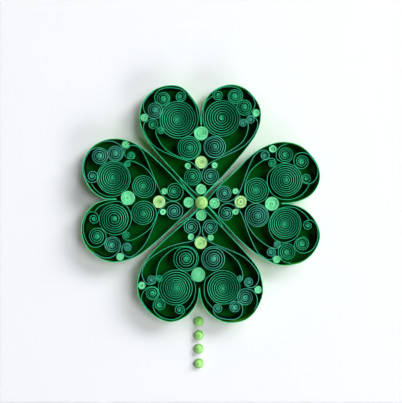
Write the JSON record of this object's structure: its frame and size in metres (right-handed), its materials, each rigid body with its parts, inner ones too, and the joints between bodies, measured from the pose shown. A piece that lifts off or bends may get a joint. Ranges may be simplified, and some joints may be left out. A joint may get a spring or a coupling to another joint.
{
  "type": "quilled paper art",
  "caption": "Clover of coiled paper strips standing on edge, with heart-shaped leaves full of scrolls and rolled pegs and a dotted stem, on a square white card.",
  "frame": {"origin": "middle of the card's back face", "axes": "+Z out of the card towards the viewer, +Y along the top leaf, +X to the viewer's right"},
  "size_m": [0.25, 0.25, 0.0152],
  "materials": {
    "white_card": "matt white mat card",
    "dark_green_base": "matt dark green paper",
    "green_wall": "matt green quilling strip",
    "emerald_strip": "matt emerald quilling strip",
    "teal_strip": "matt teal quilling strip",
    "mint_peg": "edge of a tight roll of mint strip",
    "yellow_green_peg": "edge of a tight roll of yellow-green strip",
    "light_green_dome": "domed roll of light green strip"
  },
  "bodies": {
    "root": {"backing_card": "white_card", "top_leaf_base": "dark_green_base", "top_leaf_wall": "green_wall", "left_leaf_base": "dark_green_base", "left_leaf_wall": "green_wall", "right_leaf_base": "dark_green_base", "right_leaf_wall": "green_wall", "bottom_leaf_base": "dark_green_base", "bottom_leaf_wall": "green_wall", "top_left_big_coil": "emerald_strip", "top_left_crest_scroll": "emerald_strip", "top_left_side_coil": "teal_strip", "top_left_long_scroll": "emerald_strip", "top_left_inner_scroll": "emerald_strip", "top_right_big_coil": "emerald_strip", "top_right_crest_scroll": "emerald_strip", "top_right_side_coil": "emerald_strip", "top_right_long_scroll": "teal_strip", "top_right_inner_scroll": "teal_strip", "left_upper_big_coil": "emerald_strip", "left_upper_crest_scroll": "teal_strip", "left_upper_side_coil": "teal_strip", "left_upper_long_scroll": "emerald_strip", "left_upper_inner_scroll": "emerald_strip", "left_lower_big_coil": "emerald_strip", "left_lower_crest_scroll": "emerald_strip", "left_lower_side_coil": "teal_strip", "left_lower_long_scroll": "teal_strip", "left_lower_inner_scroll": "emerald_strip", "right_upper_big_coil": "emerald_strip", "right_upper_crest_scroll": "emerald_strip", "right_upper_side_coil": "emerald_strip", "right_upper_long_scroll": "teal_strip", "right_upper_inner_scroll": "emerald_strip", "right_lower_big_coil": "emerald_strip", "right_lower_crest_scroll": "emerald_strip", "right_lower_side_coil": "emerald_strip", "right_lower_long_scroll": "teal_strip", "right_lower_inner_scroll": "teal_strip", "bottom_left_big_coil": "emerald_strip", "bottom_left_crest_scroll": "emerald_strip", "bottom_left_side_coil": "emerald_strip", "bottom_left_long_scroll": "teal_strip", "bottom_left_inner_scroll": "emerald_strip", "bottom_right_big_coil": "emerald_strip", "bottom_right_crest_scroll": "teal_strip", "bottom_right_side_coil": "teal_strip", "bottom_right_long_scroll": "teal_strip", "bottom_right_inner_scroll": "teal_strip", "cleft_pegs": "mint_peg", "yellow_pegs": "yellow_green_peg", "tip_pegs": "mint_peg", "small_pegs": "mint_peg", "outer_pegs": "mint_peg", "centre_dome": "yellow_green_peg", "stem_coils": "light_green_dome"}
  },
  "joints": []
}
